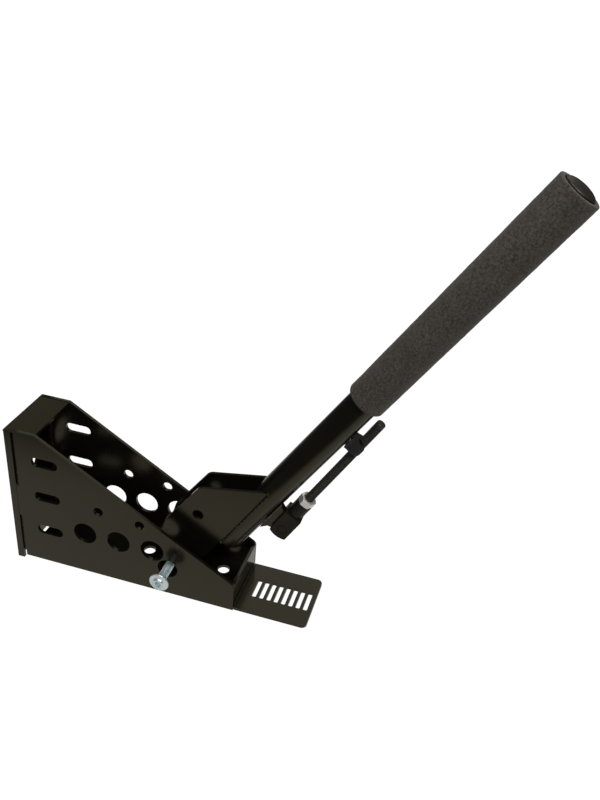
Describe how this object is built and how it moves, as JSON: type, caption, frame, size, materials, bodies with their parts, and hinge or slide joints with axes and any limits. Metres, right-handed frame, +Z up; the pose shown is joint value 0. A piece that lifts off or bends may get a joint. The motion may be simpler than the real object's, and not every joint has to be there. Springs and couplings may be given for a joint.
{
  "type": "hydraulic handbrake lever",
  "caption": "Upright motorsport handbrake lever with a foam grip, pivoting in a folded steel base, with a folding strut that locks it against a slotted tongue.",
  "frame": {"origin": "on the underside of the base plate, in the middle of the four bolt holes, directly below the lever's pivot", "axes": "+X forward to the slotted tongue, +Y to the left across the frame and along the pivot, +Z up out of the base"},
  "size_m": [0.4322, 0.0844, 0.4189],
  "materials": {
    "black_powder_coat": "gloss black powder coat",
    "zinc_plated_steel": "bright zinc plating",
    "foam": "matt closed-cell foam",
    "black_rubber": "satin",
    "black_steel": "black oxide, satin"
  },
  "bodies": {
    "frame": {"base_plate": "black_powder_coat", "front_wall": "black_powder_coat", "side_plate_right": "black_powder_coat", "side_plate_left": "black_powder_coat", "rear_plate": "black_powder_coat", "pivot_bolt": "zinc_plated_steel", "pivot_spacer_right": "black_steel", "pivot_spacer_left": "black_steel", "pivot_washer": "zinc_plated_steel", "pivot_nut": "zinc_plated_steel"},
    "lever": {"lever_tube": "black_powder_coat", "cheek_right": "black_powder_coat", "cheek_left": "black_powder_coat", "pivot_sleeve": "black_steel", "foam_grip": "foam", "grip_end_cap": "black_rubber", "strut_tab": "black_powder_coat", "strut_clip": "black_rubber", "clip_screw": "zinc_plated_steel"},
    "strut": {"strut_fork": "black_steel", "strut_pin": "black_steel", "strut_rod": "black_steel", "strut_jam_nut": "zinc_plated_steel"}
  },
  "joints": [
    {"name": "lever_pivot", "type": "hinge", "parent": "frame", "child": "lever", "pos_m": [0, 0, 0.0291], "axis": [0, -1, 0], "range_deg": [0, 40]},
    {"name": "strut_hinge", "type": "hinge", "parent": "lever", "child": "strut", "pos_m": [0.0954, 0, 0.08511], "axis": [0, 1, 0], "range_deg": [0, 120]}
  ]
}
